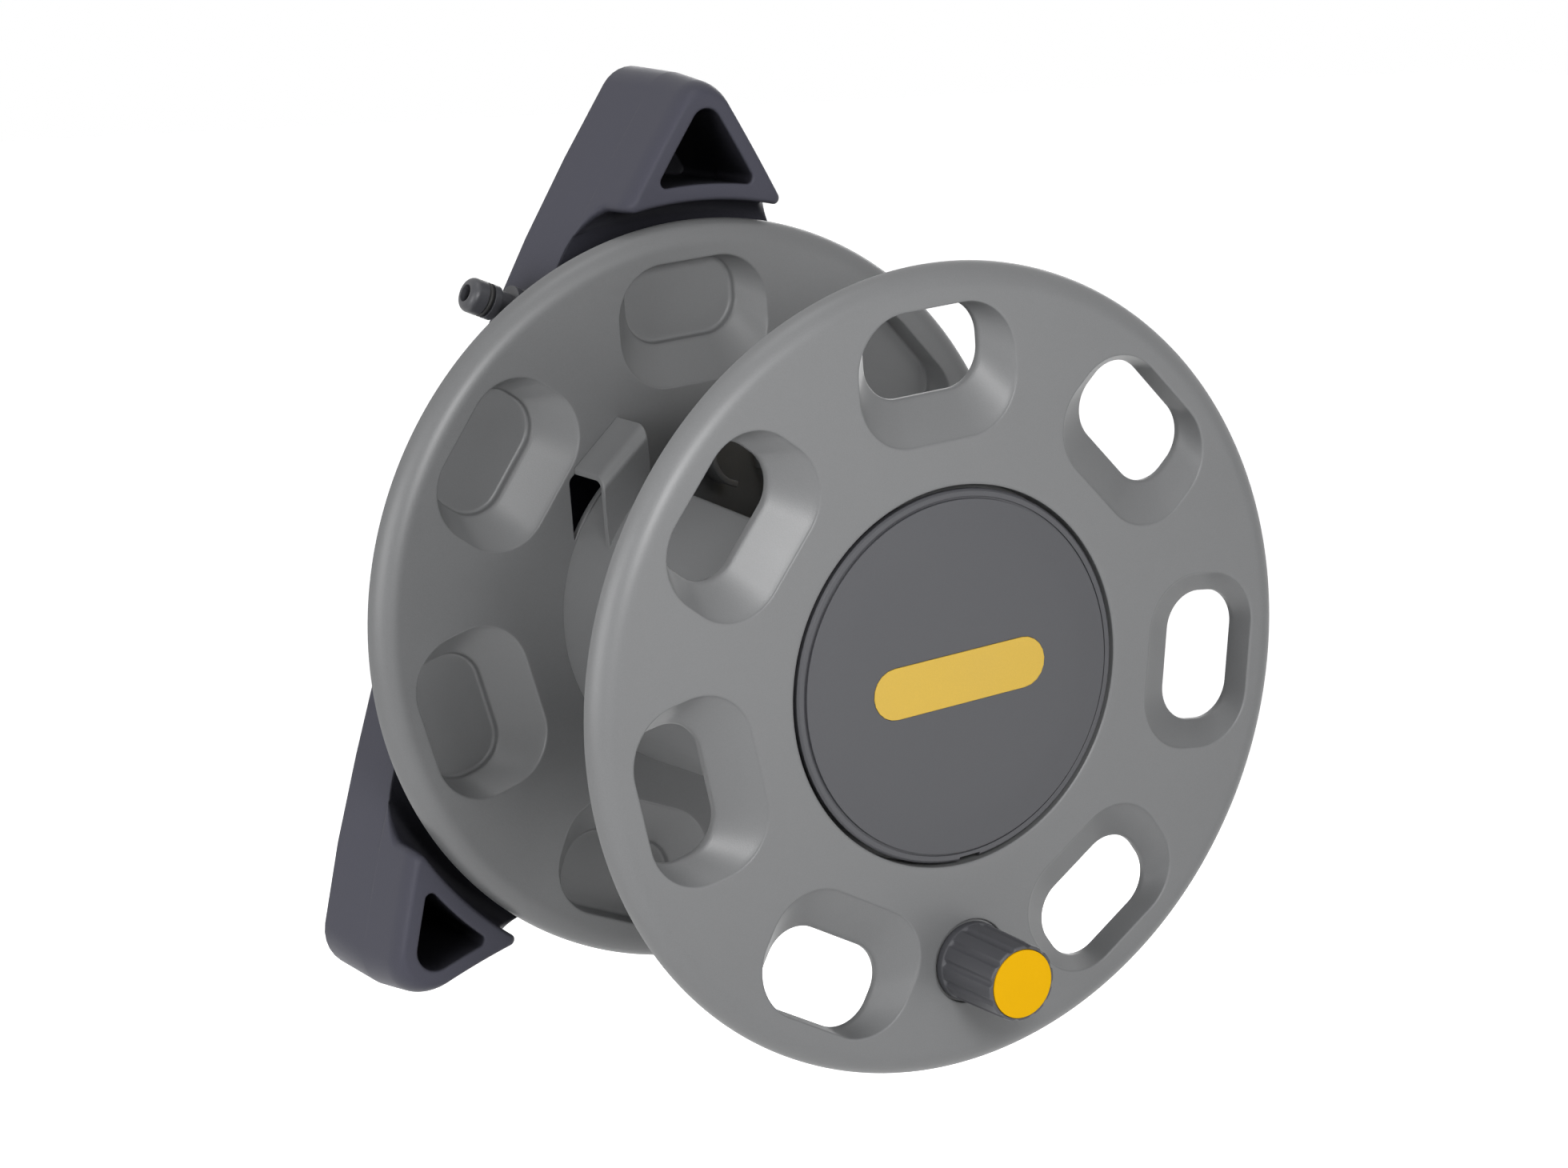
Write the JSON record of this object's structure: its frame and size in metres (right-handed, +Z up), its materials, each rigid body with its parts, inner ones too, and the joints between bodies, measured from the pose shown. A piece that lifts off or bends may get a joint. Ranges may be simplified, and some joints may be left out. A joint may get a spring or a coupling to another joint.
{
  "type": "wall mounted hose reel",
  "caption": "Wall mounted hose reel: a flanged drum with hand holes and a winding knob turns on a hollow spindle in front of a three-cornered wall bracket with a water inlet.",
  "frame": {"origin": "where the drum's axis meets the wall", "axes": "+Z up, +X to the right seen from the front, +Y into the wall"},
  "size_m": [0.3, 0.2643, 0.3558],
  "materials": {
    "flange_plastic": "moulded grey, fine grain",
    "bracket_plastic": "moulded dark grey, fine grain",
    "cap_plastic": "moulded dark grey, satin",
    "knob_plastic": "moulded dark grey, satin",
    "accent_plastic": "yellow, satin",
    "bearing_plastic": "natural white",
    "pipe_plastic": "black",
    "seal_rubber": "black",
    "screw_steel": "plain",
    "tail_brass": "turned"
  },
  "bodies": {
    "bracket": {"wall_bracket": "bracket_plastic", "spindle": "bearing_plastic", "spindle_screws": "screw_steel", "spindle_seals": "seal_rubber", "thrust_washer": "bearing_plastic", "end_washer": "screw_steel", "retaining_clip": "screw_steel", "inlet_pipe": "pipe_plastic", "inlet_nipple": "cap_plastic", "inlet_nut": "cap_plastic", "inlet_seal": "seal_rubber"},
    "drum": {"rear_flange": "flange_plastic", "hub_barrel": "flange_plastic", "front_flange": "flange_plastic", "rear_bush": "bearing_plastic", "front_bush": "bearing_plastic", "swivel_manifold": "bearing_plastic", "manifold_screws": "screw_steel", "hose_tail": "tail_brass", "barrel_screws": "screw_steel", "flange_screws": "screw_steel", "hub_cap": "cap_plastic", "badge_plate": "accent_plastic", "crank_pin": "screw_steel", "crank_nut": "screw_steel", "grip_washer": "screw_steel", "grip_screw": "screw_steel"},
    "grip": {"handle_grip": "knob_plastic", "handle_cap": "accent_plastic"}
  },
  "joints": [
    {"name": "drum_spin", "type": "hinge", "parent": "bracket", "child": "drum", "pos_m": [0, 0, 0], "axis": [0, 1, 0], "continuous": true},
    {"name": "grip_spin", "type": "hinge", "parent": "drum", "child": "grip", "pos_m": [0.00699, -0.23, -0.10807], "axis": [0, 1, 0], "continuous": true}
  ]
}
